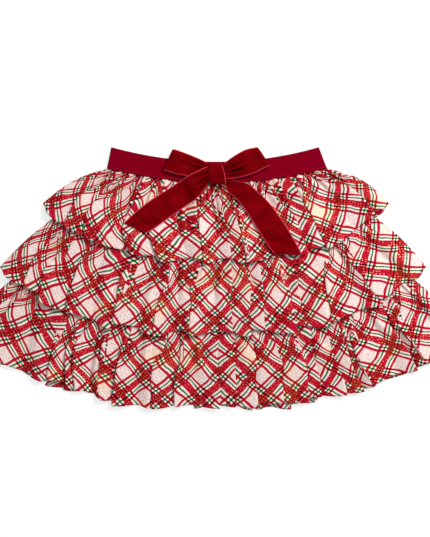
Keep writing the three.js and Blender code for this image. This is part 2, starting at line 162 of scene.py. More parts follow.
class Graph:
    """A material's node tree, with short calls to add and join nodes."""

    def __init__(self, name):
        self.material = bpy.data.materials.new(name)
        self.material.use_nodes = True
        self.tree = self.material.node_tree
        self.shader = self.tree.nodes["Principled BSDF"]

    def add(self, kind, **settings):
        node = self.tree.nodes.new(kind)
        for name, value in settings.items():
            setattr(node, name, value)
        return node

    def feed(self, socket, value):
        if isinstance(value, bpy.types.NodeSocket):
            self.tree.links.new(value, socket)
        else:
            socket.default_value = value

    def math(self, operation, a, b=0.0):
        node = self.add("ShaderNodeMath", operation=operation)
        self.feed(node.inputs[0], a)
        self.feed(node.inputs[1], b)
        return node.outputs[0]

    def mix(self, share, a, b, blend="MIX"):
        """A mix of colours, whose sockets are 0 for the share and 6 and 7 for the two."""
        node = self.add("ShaderNodeMix", data_type="RGBA", blend_type=blend)
        self.feed(node.inputs[0], share)
        self.feed(node.inputs[6], a)
        self.feed(node.inputs[7], b)
        return node.outputs[2]

    def ramp(self, value, stops, interpolation="LINEAR"):
        node = self.add("ShaderNodeValToRGB")
        node.color_ramp.interpolation = interpolation
        elements = node.color_ramp.elements
        while len(elements) < len(stops):
            elements.new(1.0)
        for element, (place, color) in zip(elements, stops):
            element.position = place
            element.color = (*color, 1)
        self.feed(node.inputs[0], value)
        return node.outputs[0]

    def cloth_point(self):
        """The UV map of the flat cloth, in metres."""
        return self.add("ShaderNodeUVMap", uv_map="cloth").outputs[0]

    def attribute(self, name):
        return self.add("ShaderNodeAttribute", attribute_name=name).outputs["Fac"]

    def turned(self, vector, angle, shift=0.0):
        node = self.add("ShaderNodeMapping")
        node.inputs["Rotation"].default_value = (0, 0, angle)
        node.inputs["Location"].default_value = (shift, shift, 0)
        self.feed(node.inputs["Vector"], vector)
        return node.outputs[0]

    def axes(self, vector):
        node = self.add("ShaderNodeSeparateXYZ")
        self.feed(node.inputs[0], vector)
        return node.outputs[0], node.outputs[1]

    def noise(self, vector, scale, detail):
        node = self.add("ShaderNodeTexNoise")
        self.feed(node.inputs["Vector"], vector)
        node.inputs["Scale"].default_value = scale
        node.inputs["Detail"].default_value = detail
        return node.outputs[0]

    def crinkled(self, vector, scale, reach):
        """The same places, each moved a little by a slow noise."""
        noise = self.noise(vector, scale, 1.0).node
        node = self.add("ShaderNodeVectorMath", operation="MULTIPLY_ADD")
        self.feed(node.inputs[0], noise.outputs["Color"])
        node.inputs[1].default_value = (reach, reach, 0)
        self.feed(node.inputs[2], vector)
        return node.outputs[0]

    def cells(self, vector, scale):
        node = self.add("ShaderNodeTexVoronoi", voronoi_dimensions="2D")
        self.feed(node.inputs["Vector"], vector)
        node.inputs["Scale"].default_value = scale
        return node

    def bump(self, height, strength, distance):
        node = self.add("ShaderNodeBump")
        node.inputs["Strength"].default_value = strength
        node.inputs["Distance"].default_value = distance
        self.feed(node.inputs["Height"], height)
        self.tree.links.new(node.outputs[0], self.shader.inputs["Normal"])


# %% [markdown]
# The stripes of one direction are a colour ramp with hard steps, read at the place within one
# repeat. The gold flecks are the middles of a fine Voronoi pattern, nearly in rows, on the
# broad red stripes and the cream ground, and they are metal. Thin gauze never lies quite
# smooth, so a slow noise moves each place by up to a millimetre or two, and the stripes run a
# little crooked. A fine noise mottles the dye, and a slow noise paints warm glints of the gold
# thread in a few patches, as painted highlight. A faint thread bump catches the light up close.

# %% Plaid material
FLECK_SPACING = REPEAT / 12
FLECK_OFFSET = 0.47
FLECK_SIZE = 0.14
FLECK_SHARE = 0.75
FLECK_SCATTER = 0.45
FLECK_ON_RED = 0.8
GOLD = (0.78, 0.44, 0.2)
FLECK_METAL = 0.75
FLECK_POLISH = 0.45
MOTTLE_SCALE = 520
MOTTLE = [(0.34, (0.68, 0.63, 0.66)), (0.55, (1, 1, 1))]
PAINTED_GLINT = (1.06, 0.98, 0.82)
PAINTED_GLINT_LIFT = (0.02, 0.012, 0.0)
PAINTED_GLINT_SCALE = 26
PAINTED_GLINT_PATCHES = [(0.56, (0, 0, 0)), (0.68, (1, 1, 1))]
CRINKLE_SCALE = 45
CRINKLE_REACH = 6 * MM
GAUZE_ROUGH = 0.78
GAUZE_GLOSS = 0.12
THREAD = 0.55 * MM
THREAD_RISE = 0.1 * MM
THREAD_BUMP = 0.12


def stripe_stops(only=None):
    """The stripes' own colours, or with a name, 1 on those stripes and 0 on the others."""
    stops = []
    place = 0.0
    for name, width, dye in STRIPES:
        stops.append((place * MM / REPEAT, (float(name == only),) * 3 if only else dye))
        place += width
    return stops


def plaid_material():
    g = Graph("plaid_gauze")
    cloth = g.crinkled(g.cloth_point(), CRINKLE_SCALE, CRINKLE_REACH)
    along, across = g.axes(g.turned(cloth, BIAS_ANGLE))
    colors, on_red, on_ground = [], [], []
    for direction in (along, across):
        place = g.math("FRACT", g.math("DIVIDE", direction, REPEAT))
        colors.append(g.ramp(place, stripe_stops(), "CONSTANT"))
        on_red.append(g.ramp(place, stripe_stops("broad red"), "CONSTANT"))
        on_ground.append(g.ramp(place, stripe_stops("ground"), "CONSTANT"))
    plaid = g.mix(1.0, colors[0], colors[1], "MULTIPLY")
    mottle = g.ramp(g.noise(cloth, MOTTLE_SCALE, 3), MOTTLE)
    plaid = g.mix(1.0, plaid, mottle, "MULTIPLY")
    # Painted highlight: warm glints of the gold thread, in patches laid by a slow noise.
    painted_glint = g.ramp(g.noise(cloth, PAINTED_GLINT_SCALE, 1), PAINTED_GLINT_PATCHES)
    glint_tinted = g.mix(1.0, g.mix(1.0, plaid, (*PAINTED_GLINT, 1), "MULTIPLY"), (*PAINTED_GLINT_LIFT, 1), "ADD")
    plaid = g.mix(painted_glint, plaid, glint_tinted)
    fleck_rows = g.turned(cloth, BIAS_ANGLE, shift=-FLECK_OFFSET * FLECK_SPACING)
    flecks = g.cells(fleck_rows, 1 / FLECK_SPACING)
    flecks.inputs["Randomness"].default_value = FLECK_SCATTER
    spot = g.math("LESS_THAN", flecks.outputs["Distance"], FLECK_SIZE)
    chosen, _ = g.axes(flecks.outputs["Color"])
    fleck = g.math("MULTIPLY", spot, g.math("LESS_THAN", chosen, FLECK_SHARE))
    red_share = g.math("MULTIPLY", g.math("MAXIMUM", *on_red), FLECK_ON_RED)
    ground_share = g.math("MULTIPLY", *on_ground)
    fleck = g.math("MULTIPLY", fleck, g.math("ADD", red_share, ground_share))
    g.feed(g.shader.inputs["Base Color"], g.mix(fleck, plaid, (*GOLD, 1)))
    g.feed(g.shader.inputs["Metallic"], g.math("MULTIPLY", fleck, FLECK_METAL))
    polish = g.math("MULTIPLY", fleck, FLECK_POLISH)
    g.feed(g.shader.inputs["Roughness"], g.math("SUBTRACT", GAUZE_ROUGH, polish))
    g.shader.inputs["Specular IOR Level"].default_value = GAUZE_GLOSS
    weave = 2 * np.pi / THREAD
    threads = [g.math("SINE", g.math("MULTIPLY", axis, weave)) for axis in (along, across)]
    g.bump(g.math("ADD", *threads), THREAD_BUMP, THREAD_RISE)
    return g.material


PLAID = plaid_material()
print("plaid gauze has", len(PLAID.node_tree.nodes), "nodes")

# %% [markdown]
# ## Ruffle tiers
#
# A real ruffle is a long strip, gathered to about half its length along the top and free
# along the hem. Laid flat, the gathers below the seam lie as small folds, and further down
# they join into broad folds that lean over each other, so that the plaid breaks along every
# fold line. A cloth simulation could gather such a strip, but it wouldn't lay the folds where
# the picture shows them, so here they are laid one by one. A flat grid is the start of each
# strip. Its points are then placed by a rule: a smile curve for the seam and one for the hem,
# a table of fold lines between them, and a wave that leans over its fold line. The arc along
# each row gives the cloth's own UV map, so the plaid narrows, slips under and comes out again
# as real cloth does.
#
# Its height is a table too. Going down a tier from seam to hem, "low" is the height of the
# bottom of its folds, "swing" how much higher their crests are, and "side" the height of its
# side edges. A front lies LOW on its own back panel, OVER the back of the tier above as well
# near its seam, and RAISED on the folds of the tier below near its hem.

# %% Heights of the tiers, in millimetres
LOW = 1.6
OVER = 3.2
RAISED = 6.9
TOP_RISE = {
    "down": [0.0, 0.15, 0.5, 0.74, 1.0],
    "low": [LOW, LOW, 3.4, RAISED, RAISED],
    "swing": [3.2, 4.6, 5.0, 4.6, 4.6],
    "side": [LOW] * 5,
}
MIDDLE_RISE = {
    "down": [0.0, 0.28, 0.46, 0.6, 0.78, 1.0],
    "low": [OVER, OVER, 2.4, 4.2, RAISED, RAISED],
    "swing": [2.4, 2.9, 5.2, 5.0, 4.6, 4.6],
    "side": [OVER, OVER, LOW, LOW, LOW, LOW],
}
BOTTOM_RISE = {
    "down": [0.0, 0.28, 0.46, 1.0],
    "low": [OVER, OVER, LOW, LOW],
    "swing": [2.4, 2.9, 5.6, 6.2],
    "side": [OVER, OVER, LOW, LOW],
}
for rise in (TOP_RISE, MIDDLE_RISE, BOTTOM_RISE):
    print("crests from seam to hem (mm):", np.add(rise["low"], rise["swing"]).round(1))

# %% [markdown]
# Every fold has a row of its own, which places its right-hand line: where the line meets the
# hem, where it passes half way up and where it would meet the seam, as shares of the tier from
# left to right. Then come its lean, how far up the tier it reaches before the gathers take
# over, and how much lower it hangs in mm. With a lean above about 0.4 the fold laps over its
# own line to the right, and below about -0.4 over the line before it. They are as uneven as in
# the picture: folds lap to the left on the left half and mostly to the right on the right.

# %% Fold tables
TOP_FOLDS = [
    # hem, half way, seam, lean, reach, drop
    (0.095, 0.063, 0.05, -0.55, 0.9, 1.5),
    (0.177, 0.118, 0.1, -0.7, 0.8, -2.5),
    (0.288, 0.2, 0.168, -0.85, 0.9, -5.0),
    (0.375, 0.292, 0.25, -0.6, 0.7, -4.0),
    (0.43, 0.375, 0.33, -0.75, 0.85, 1.0),
    (0.482, 0.458, 0.42, 0.1, 0.55, -2.5),
    (0.515, 0.498, 0.47, -0.8, 0.95, 2.5),
    (0.542, 0.53, 0.512, 0.65, 0.7, -2.0),
    (0.57, 0.562, 0.552, 0.9, 0.95, 2.5),
    (0.605, 0.602, 0.595, 0.1, 0.85, -1.0),
    (0.665, 0.67, 0.668, -0.85, 0.9, 1.5),
    (0.735, 0.743, 0.738, 0.7, 0.8, 1.0),
    (0.822, 0.835, 0.85, 0.1, 0.8, -1.5),
    (0.885, 0.9, 0.908, -0.9, 0.95, 3.5),
    (0.945, 0.955, 0.96, 0.6, 0.85, -2.0),
]
MIDDLE_FOLDS = [
    # hem, half way, seam, lean, reach, drop
    (0.075, 0.048, 0.035, -0.55, 0.9, 2.0),
    (0.122, 0.075, 0.06, -0.75, 0.8, -3.0),
    (0.19, 0.15, 0.125, -0.6, 0.7, 3.0),
    (0.238, 0.195, 0.175, -0.8, 0.9, -1.5),
    (0.292, 0.275, 0.26, 0.1, 0.55, 2.5),
    (0.334, 0.325, 0.318, -0.85, 0.95, -4.0),
    (0.378, 0.37, 0.36, 0.1, 0.6, 2.5),
    (0.418, 0.404, 0.395, -0.7, 0.8, 4.0),
    (0.46, 0.452, 0.448, 0.1, 0.7, -4.0),
    (0.502, 0.503, 0.5, -0.75, 0.85, 2.0),
    (0.535, 0.54, 0.54, 0.7, 0.6, -1.5),
    (0.57, 0.578, 0.588, 0.85, 0.95, 3.5),
    (0.61, 0.62, 0.635, 0.6, 0.6, -3.0),
    (0.66, 0.672, 0.683, 0.9, 0.95, 3.0),
    (0.7, 0.714, 0.73, 0.55, 0.55, -4.0),
    (0.778, 0.806, 0.826, 0.1, 0.8, 2.5),
    (0.835, 0.85, 0.86, -0.85, 0.95, -1.0),
    (0.893, 0.882, 0.886, 0.1, 0.75, 2.5),
    (0.945, 0.94, 0.945, -0.8, 0.9, -1.5),
]
BOTTOM_FOLDS = [
    # hem, half way, seam, lean, reach, drop
    (0.045, 0.03, 0.022, -0.5, 0.8, 2.0),
    (0.098, 0.057, 0.045, -0.65, 0.9, 3.5),
    (0.145, 0.1, 0.08, -0.85, 0.95, 2.5),
    (0.193, 0.163, 0.145, 0.1, 0.6, 1.5),
    (0.228, 0.19, 0.175, -0.7, 0.85, -4.5),
    (0.25, 0.213, 0.2, -0.6, 0.7, -2.0),
    (0.275, 0.243, 0.232, -0.8, 0.9, -2.5),
    (0.3, 0.268, 0.26, 0.1, 0.6, 0.0),
    (0.32, 0.3, 0.29, -0.85, 0.9, 2.0),
    (0.358, 0.342, 0.334, -0.6, 0.7, 5.5),
    (0.395, 0.386, 0.38, 0.1, 0.75, 2.5),
    (0.432, 0.426, 0.422, -0.75, 0.85, 3.0),
    (0.458, 0.455, 0.453, -0.6, 0.7, -1.0),
    (0.503, 0.505, 0.506, 0.7, 0.6, 0.5),
    (0.533, 0.54, 0.546, 0.8, 0.95, -2.5),
    (0.568, 0.578, 0.586, 0.9, 0.85, 1.0),
    (0.617, 0.63, 0.637, 0.8, 0.8, -3.0),
    (0.66, 0.674, 0.685, 0.9, 0.95, 0.5),
    (0.7, 0.713, 0.725, 0.55, 0.65, -3.5),
    (0.738, 0.75, 0.76, 0.75, 0.8, 1.5),
    (0.775, 0.782, 0.792, 0.6, 0.9, 3.5),
    (0.812, 0.812, 0.824, 0.1, 0.7, 2.0),
    (0.852, 0.862, 0.87, -0.85, 0.9, 0.0),
    (0.884, 0.892, 0.898, 0.45, 0.8, 5.0),
    (0.915, 0.918, 0.927, 0.1, 0.7, 3.0),
    (0.958, 0.962, 0.97, -0.8, 0.85, 4.0),
]
print("fold lines:", len(TOP_FOLDS), len(MIDDLE_FOLDS), len(BOTTOM_FOLDS))

# %% [markdown]
# Half of each tier's strip makes its front, and the other half its back. "strip" is that
# half's length and depth before it was gathered, about 2.2 times the waist for the top tier,
# and "start" moves its plaid, so that the tiers' patterns don't line up. The smile curves of
# the seam and the hem have a half width, a height in the middle and at the ends, and a power
# for each side, higher where the curve stays level for longer. "puff" is how far the tier's
# sides swell out. A fold has a number of small "gathers" at its top and of "steps" across it.
# "tucked" is how much more cloth the grooves of the gathers take than their crests.

# %% Tier table
TIERS = [
    {
        "name": "tier1",
        "seam": {"shift": 4.6, "half": 126.5, "middle": 108.6, "end": 125.1, "left": 2, "right": 2},
        "hem": {"shift": 3.5, "half": 199, "middle": 20, "end": 85, "left": 4, "right": 2.9},
        "puff": (6.0, 8.0),
        "rise": TOP_RISE,
        "folds": TOP_FOLDS,
        "gathers": 3,
        "tucked": 3,
        "steps": 32,
        "strip": (565.0, 89.0),
        "start": (0.0, 0.0),
        "back_lift": 0.0,
    },
    {
        "name": "tier2",
        "seam": {"shift": 2, "half": 171, "middle": 39.7, "end": 78.5, "left": 3, "right": 3},
        "hem": {"shift": 0, "half": 245, "middle": -63.3, "end": 12, "left": 3, "right": 3},
        "puff": (3.5, 4.5),
        "rise": MIDDLE_RISE,
        "folds": MIDDLE_FOLDS,
        "gathers": 2,
        "tucked": 1,
        "steps": 26,
        "strip": (690.0, 103.0),
        "start": (9.0, 14.0),
        "back_lift": 1.6,
    },
    {
        "name": "tier3",
        "seam": {"shift": 0, "half": 218.5, "middle": -43.1, "end": 7.5, "left": 3, "right": 3},
        "hem": {"shift": 0, "half": 293, "middle": -148.7, "end": -62.7, "left": 2.5, "right": 2.5},
        "puff": (3.0, 3.0),
        "rise": BOTTOM_RISE,
        "folds": BOTTOM_FOLDS,
        "gathers": 2,
        "tucked": 1,
        "steps": 20,
        "strip": (830.0, 106.0),
        "start": (21.0, 5.0),
        "back_lift": 1.6,
    },
]
CLOTH_THICK = 0.35
SMILE_POINTS = 401
PUFF_REACH = 0.16
SIDE_ROUND = 0.035
HEM_SCALLOP = 0.036
SCALLOP_START = 0.6
CREST_SHAPE = 0.8
CRISP_SHARE = 0.6
DROP_STEP = 0.3
WANDER = 0.003
WANDER_DOWN = 9
WANDER_NEXT = 5
END_LEAN = 0.15
GATHER_FADE = 0.4
GATHER_LEAN = 0.8
EVEN_GATHER_LEAN = 0.2
BACK_SWING = 0.8
BACK_LEAN = 0.8
BACK_LIFT_END = (0.32, 0.44)
FRONT_ROWS = 60
BACK_ROWS = 30


def smooth(low, high, value):
    share = np.clip((value - low) / (high - low), 0, 1)
    return share * share * (3 - 2 * share)


def smile(line, side):
    power = np.where(side < 0, line["left"], line["right"])
    return line["middle"] + (line["end"] - line["middle"]) * np.abs(side) ** power


def walk_smile(line):
    """A function from shares of the curve's length to places on it."""
    side = np.linspace(-1, 1, SMILE_POINTS)
    x = line["shift"] + line["half"] * side
    y = smile(line, side)
    length = np.concatenate([[0], np.cumsum(np.hypot(np.diff(x), np.diff(y)))])
    share = length / length[-1]
    return lambda wanted: (np.interp(wanted, share, x), np.interp(wanted, share, y))


def plan_place(tier, across, down):
    seam, hem = walk_smile(tier["seam"]), walk_smile(tier["hem"])
    seam_x, seam_y = seam(across)
    hem_x, hem_y = hem(across)
    x = seam_x + (hem_x - seam_x) * down
    y = seam_y + (hem_y - seam_y) * down
    swell = np.sin(np.pi * np.clip(down, 0, 1))
    near = (1 - smooth(0, PUFF_REACH, across), smooth(1 - PUFF_REACH, 1, across))
    for share, sign, out, weight in zip((0, 1), (-1, 1), tier["puff"], near):
        edge = np.subtract(hem(share), seam(share))
        edge = edge / np.hypot(*edge)
        x = x - sign * edge[1] * out * swell * weight
        y = y + sign * edge[0] * out * swell * weight
    return x, y


print("tiers:", ", ".join(tier["name"] for tier in TIERS))

# %% [markdown]
# The next cell turns a fold table into a surface. The phase runs from 0 to 1 between two fold
# lines. The wave is high in the middle and leans to one side, past the next line where it
# leans enough. Towards the seam it gives way to small gathers, at a height that differs from
# fold to fold. So that nothing looks ruled, each fold line wanders a little, every other
# gather leans only slightly, and the hem is scalloped.

# %% The folded surface
def wave(phase):
    return (1 - np.cos(2 * np.pi * phase)) / 2


def crisp(phase):
    """A wave with straight flanks and a narrow round at its top and bottom."""
    return (1 - CRISP_SHARE) * wave(phase) + CRISP_SHARE * (1 - np.abs(2 * phase - 1))


def fold_drop(drops, phase, index):
    """How much lower each fold hangs (mm), changing where one fold passes under the next."""
    drops = np.array([drops[0]] + list(drops) + [drops[-1]] * 2)
    own = drops[index + 1]
    before = (drops[index] + own) / 2
    after = (own + drops[index + 2]) / 2
    first = 1 - smooth(0, DROP_STEP, phase)
    last = smooth(1 - DROP_STEP, 1, phase)
    return own + (before - own) * first + (after - own) * last


def spread(values, index):
    """One column of the fold table for every step across, its last value repeated."""
    return np.array(values)[np.minimum(index, len(values) - 1)]


def height_at(tier, key, down):
    return np.interp(down, tier["rise"]["down"], tier["rise"][key])


def folded_strip(tier, folds, rows, front):
    """Places of the strip's points, and the flat cloth coordinates of each."""
    steps = tier["steps"]
    count = len(folds) + 1
    down = np.linspace(0, 1, rows)[:, None]
    phase = np.append(np.tile(np.arange(steps) / steps, count), 1.0)
    index = np.append(np.repeat(np.arange(count), steps), count - 1)
    hems, halves, seams, leans, reaches, drops = zip(*folds)
    hem, half, seam = (np.array([0, *line, 1]) for line in (hems, halves, seams))
    bend = 2 * (hem + seam) - 4 * half
    lines = seam + (hem - seam - bend) * down + bend * down**2
    wander = WANDER * np.sin(WANDER_DOWN * down + WANDER_NEXT * np.arange(count + 1))
    lines[:, 1:-1] += wander[:, 1:-1] * np.sin(np.pi * down)
    start = lines[:, index]
    wide = lines[:, index + 1] - start
    lean = spread(leans, index)
    lean = np.where((index == 0) | (index == count - 1), END_LEAN * np.sign(lean), lean)
    reach = spread(reaches, index)
    gathered = 1 - smooth(1 - reach, 1 + GATHER_FADE - reach, down)
    gathers = tier["gathers"]
    small = wave(phase * gathers)
    gather_lean = np.where(np.floor(phase * gathers) % 2 == 0, EVEN_GATHER_LEAN, 1) * np.sign(lean)
    shift = lean * crisp(phase) * (1 - gathered)
    shift = shift + GATHER_LEAN * gather_lean / gathers * small * gathered
    across = start + wide * (phase + shift)
    side = np.clip(np.minimum(across, 1 - across) / SIDE_ROUND, 0, 1)
    round_in = np.sqrt(1 - (1 - side) ** 2)
    height = crisp(phase) ** CREST_SHAPE * (1 - gathered) + small * gathered
    free = smooth(SCALLOP_START, 1, down) * round_in
    drop = fold_drop(drops, phase, index) / tier["strip"][1]
    hang = down + (HEM_SCALLOP * (wave(phase) - 0.5) + drop) * free
    x, y = plan_place(tier, across, hang)
    if front:
        low, swing, edge = (height_at(tier, key, down) for key in ("low", "swing", "side"))
        z = edge + (low + swing * height - edge) * round_in + CLOTH_THICK / 2
    else:
        lift = tier["back_lift"] * (1 - smooth(*BACK_LIFT_END, down))
        z = lift + CLOTH_THICK / 2 + BACK_SWING * height * round_in
    points = np.stack([x, y, z + 0 * x], axis=-1)
    return points, cloth_map(tier, points, hang, index, (gathered * (1 - small)) ** 3)


def cloth_map(tier, points, hang, index, groove):
    """Flat cloth coordinates. Each fold keeps its own share of the strip in every row, so
    its stripes run straight down it, and within a fold they follow the arc of the row and
    what the small gathers tuck away in their grooves."""
    full, high = tier["strip"]
    step = np.linalg.norm(np.diff(points, axis=1), axis=2)
    seam, hem = round(step[0].sum()), round(step[-1].sum())
    print(tier["name"], "rows of cloth (mm): seam", seam, "hem", hem, "strip", full)
    step *= 1 + tier["tucked"] * groove[:, 1:]
    arc = np.concatenate([np.zeros((points.shape[0], 1)), step.cumsum(axis=1)], axis=1)
    firsts = np.append(np.searchsorted(index, np.arange(index[-1] + 1)), len(index) - 1)
    marks = arc[:, firsts]
    own = marks[-1] / marks[-1][-1] * full
    along = np.stack([np.interp(row, mark, own) for row, mark in zip(arc, marks)])
    along += tier["start"][0]
    return np.stack([along, hang * high + tier["start"][1]], axis=-1)


print("height a quarter of the way over a fold:", round(crisp(0.25) ** CREST_SHAPE, 2))

# %% [markdown]
# A grid primitive has as many points as the strip, in rows and columns. Each point knows its
# row and column by its place in the flat grid, is moved to its folded place, and gets its
# flat cloth coordinates as UV. Solidify then gives the sheet its thickness.

# %% From grid to cloth
def thicken(piece, thickness):
    thick = piece.modifiers.new("thickness", "SOLIDIFY")
    thick.thickness = thickness * MM
    thick.offset = 0
    bpy.ops.object.modifier_apply(modifier=thick.name)
    bpy.ops.object.shade_smooth()
    print(piece.name, len(piece.data.polygons) * 2, "triangles")


def cloth_piece(name, points, flat, thickness, material, crease_shade=None):
    rows, columns, _ = points.shape
    bpy.ops.object.select_all(action="DESELECT")
    bpy.ops.mesh.primitive_grid_add(
        x_subdivisions=columns - 1, y_subdivisions=rows - 1, size=1, location=(0, 0, 0)
    )
    piece = bpy.context.object
    piece.name = name
    mesh = piece.data
    mesh.name = name
    grid = np.empty(len(mesh.vertices) * 3)
    mesh.vertices.foreach_get("co", grid)
    grid = grid.reshape(-1, 3)
    column = np.rint((grid[:, 0] + 0.5) * (columns - 1)).astype(int)
    row = np.rint((0.5 - grid[:, 1]) * (rows - 1)).astype(int)
    mesh.vertices.foreach_set("co", (points[row, column] * MM).ravel())
    if crease_shade is not None:
        marks = mesh.attributes.new("crease_shade", "FLOAT", "POINT").data
        marks.foreach_set("value", crease_shade[row, column])
    corner = np.empty(len(mesh.loops), dtype=int)
    mesh.loops.foreach_get("vertex_index", corner)
    cloth = mesh.uv_layers.active
    cloth.name = "cloth"
    cloth.data.foreach_set("uv", (flat[row, column][corner] * MM).ravel())
    mesh.materials.clear()
    mesh.materials.append(material)
    if thickness:
        thicken(piece, thickness)
    return piece


def hand_over(piece, node):
    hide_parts(node)
    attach(piece, "root")


print("grids become sheets named after their pieces, with a UV map called cloth")

# %% [markdown]
# Each tier is a tube, so it has a back panel too. The picture doesn't show the backs, so each
# takes the front's table read from the other side, with lower folds and fewer rows. Every
# panel is a sheet of the size that it was cut to, and the front rests on the back.

# %% The six ruffle panels
def mirrored(folds):
    """The back's own folds: the front's table read from the other side."""
    turned = []
    for hem, half, seam, lean, reach, drop in reversed(folds):
        turned.append((1 - hem, 1 - half, 1 - seam, -BACK_LEAN * lean, reach, drop))
    return turned


for tier in TIERS:
    panels = (("back", mirrored(tier["folds"]), BACK_ROWS), ("front", tier["folds"], FRONT_ROWS))
    for part, folds, rows in panels:
        points, flat = folded_strip(tier, folds, rows, part == "front")
        name = f"{tier['name']}_{part}"
        piece = cloth_piece(f"{name}_cloth", points, flat, CLOTH_THICK, PLAID)
        hand_over(piece, name)

# %% [markdown]
# ## Waistband
#
# The waistband is a loop of crimson elastic, knitted firm and matt, about 25 mm high. It lies
# flat, so its front and back meet at a tight bend at each end. Its fine upright ribs are less
# than a millimetre apart, so they are bump in the material and not modelled.

# %% Waistband materials
CRIMSON = (0.19, 0.0004, 0.0095)
THREAD_RED = (0.30, 0.004, 0.02)
RIB = 0.8 * MM
KNIT_COURSE = 0.5 * MM
KNIT_ROUGH = 0.85
COURSE_SHARE = 0.5
KNIT_RISE = 0.12 * MM
KNIT_BUMP = 0.25
KNIT_CLOUDS = 120
KNIT_TONES = [(0.3, (0.9, 0.9, 0.9)), (0.7, (1.06, 1.06, 1.06))]


def knit_material():
    g = Graph("waist_knit")
    cloth = g.cloth_point()
    along, up = g.axes(cloth)
    soft = g.ramp(g.noise(cloth, KNIT_CLOUDS, 2), KNIT_TONES)
    g.feed(g.shader.inputs["Base Color"], g.mix(1.0, (*CRIMSON, 1), soft, "MULTIPLY"))
    g.shader.inputs["Roughness"].default_value = KNIT_ROUGH
    g.shader.inputs["Specular IOR Level"].default_value = 0.0
    ribs = g.math("SINE", g.math("MULTIPLY", along, 2 * np.pi / RIB))
    courses = g.math("SINE", g.math("MULTIPLY", up, 2 * np.pi / KNIT_COURSE))
    courses = g.math("MULTIPLY", courses, COURSE_SHARE)
    g.bump(g.math("ADD", ribs, courses), KNIT_BUMP, KNIT_RISE)
    return g.material


KNIT = knit_material()
print("knit is ready")

# %% [markdown]
# The band could be a long box with rounded edges. A real one is a strip of knit folded round
# an elastic, though, so it starts as a sheet as well, which gives its ribs a flat cloth to
# follow. The sheet runs once round a long flat oval, its two ends are merged, and its long
# edges roll in a little.

# %% Waistband
BAND = {
    "shift": 4.6,
    "half": 126.5,
    "lower": (108.7, 125.2),
    "upper": (132.8, 149.6),
    "slant": (5.0, 9.5),
}
BAND_WIDE = 24.4
BAND_TOP = 5.0
KNIT_THICK = 1.6
BAND_COLUMNS = 120
BAND_BEND = 10
BAND_ROWS = 18
BAND_EDGE_ROLL = 0.35
BAND_ROLL_REACH = 0.12
WELD = 0.01 * MM


def band_section():
    """Once round the waistband from its left end: place across and height."""
    straight = BAND["half"] - BAND_TOP / 2
    radius = (BAND_TOP - KNIT_THICK) / 2
    run = np.linspace(-straight, straight, BAND_COLUMNS)
    turn = np.linspace(0, np.pi, BAND_BEND + 2)[1:-1]
    flat = 0 * run + radius
    out, up = radius * np.sin(turn), radius * np.cos(turn)
    across = np.concatenate([run, straight + out, run[::-1], -straight - out, run[:1]])
    height = np.concatenate([flat, up, -flat, -up, [radius]])
    return across, BAND_TOP / 2 + height


def band_place(across, up):
    side = across / BAND["half"]
    curve = np.minimum(1, np.abs(side)) ** 2
    lower = BAND["lower"][0] + (BAND["lower"][1] - BAND["lower"][0]) * curve
    upper = BAND["upper"][0] + (BAND["upper"][1] - BAND["upper"][0]) * curve
    slant = np.where(side < 0, *BAND["slant"])
    return BAND["shift"] + across - slant * side * up, lower + (upper - lower) * up


def waistband_cloth():
    across, height = band_section()
    up = np.linspace(1, 0, BAND_ROWS)[:, None]
    x, y = band_place(across[None, :], up)
    edge = np.minimum(up, 1 - up) / BAND_ROLL_REACH
    roll = BAND_EDGE_ROLL * (1 - np.minimum(1, edge)) ** 2
    z = height + roll * (BAND_TOP / 2 - height) / (BAND_TOP / 2)
    points = np.stack([x, y, z], axis=-1)
    arc = np.append(0, np.hypot(np.diff(across), np.diff(height)).cumsum())
    flat = np.stack([arc[None, :] + 0 * up, BAND_WIDE * up + 0 * arc], axis=-1)
    piece = cloth_piece("waistband_knit", points, flat, 0, KNIT)
    bpy.ops.object.mode_set(mode="EDIT")
    bpy.ops.mesh.select_all(action="SELECT")
    bpy.ops.mesh.remove_doubles(threshold=WELD)
    bpy.ops.object.mode_set(mode="OBJECT")
    thicken(piece, KNIT_THICK)
    print("round the waist (mm):", round(arc[-1]))
    return piece


waistband = waistband_cloth()
hand_over(waistband, "waistband")

# %% [markdown]
# The ruffle is sewn to the band with a row of crimson stitches just above its lower edge.
# One stitch is a small ball, drawn out and repeated by an array, and each copy is set down
# along the band's curve.

# %% Stitch row
STITCH_COUNT = 84
STITCH_LONG = 1.9
STITCH_THICK = 0.32
STITCH_UP = 0.085
STITCH_SUNK = 0.04
STITCH_SPREAD = 0.985
STITCH_ROUGH = 0.6


def stitch_row():
    bpy.ops.object.select_all(action="DESELECT")
    bpy.ops.mesh.primitive_uv_sphere_add(segments=8, ring_count=5, radius=0.5, location=(0, 0, 0))
    row = bpy.context.object
    row.name = "waistband_stitches"
    ball = len(row.data.vertices)
    copies = row.modifiers.new("row", "ARRAY")
    copies.count = STITCH_COUNT
    copies.use_relative_offset = False
    bpy.ops.object.modifier_apply(modifier=copies.name)
    place = np.empty(len(row.data.vertices) * 3)
    row.data.vertices.foreach_get("co", place)
    place = place.reshape(STITCH_COUNT, ball, 3)
    reach = STITCH_SPREAD * (BAND["half"] - BAND_TOP / 2)
    across = np.linspace(-reach, reach, STITCH_COUNT)
    x, y = band_place(across, STITCH_UP)
    slope = np.gradient(y, x)
    run = place[:, :, 0] * STITCH_LONG
    out = np.stack([
        x[:, None] + run - place[:, :, 1] * STITCH_THICK * slope[:, None],
        y[:, None] + run * slope[:, None] + place[:, :, 1] * STITCH_THICK,
        BAND_TOP - STITCH_SUNK + place[:, :, 2] * STITCH_THICK,
    ], axis=-1)
    row.data.vertices.foreach_set("co", (out * MM).ravel())
    bpy.ops.object.shade_smooth()
    row.data.materials.append(plain_material("waist_thread", THREAD_RED, STITCH_ROUGH))
    return row


stitches = stitch_row()
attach(stitches, "root")
print("stitches:", STITCH_COUNT)

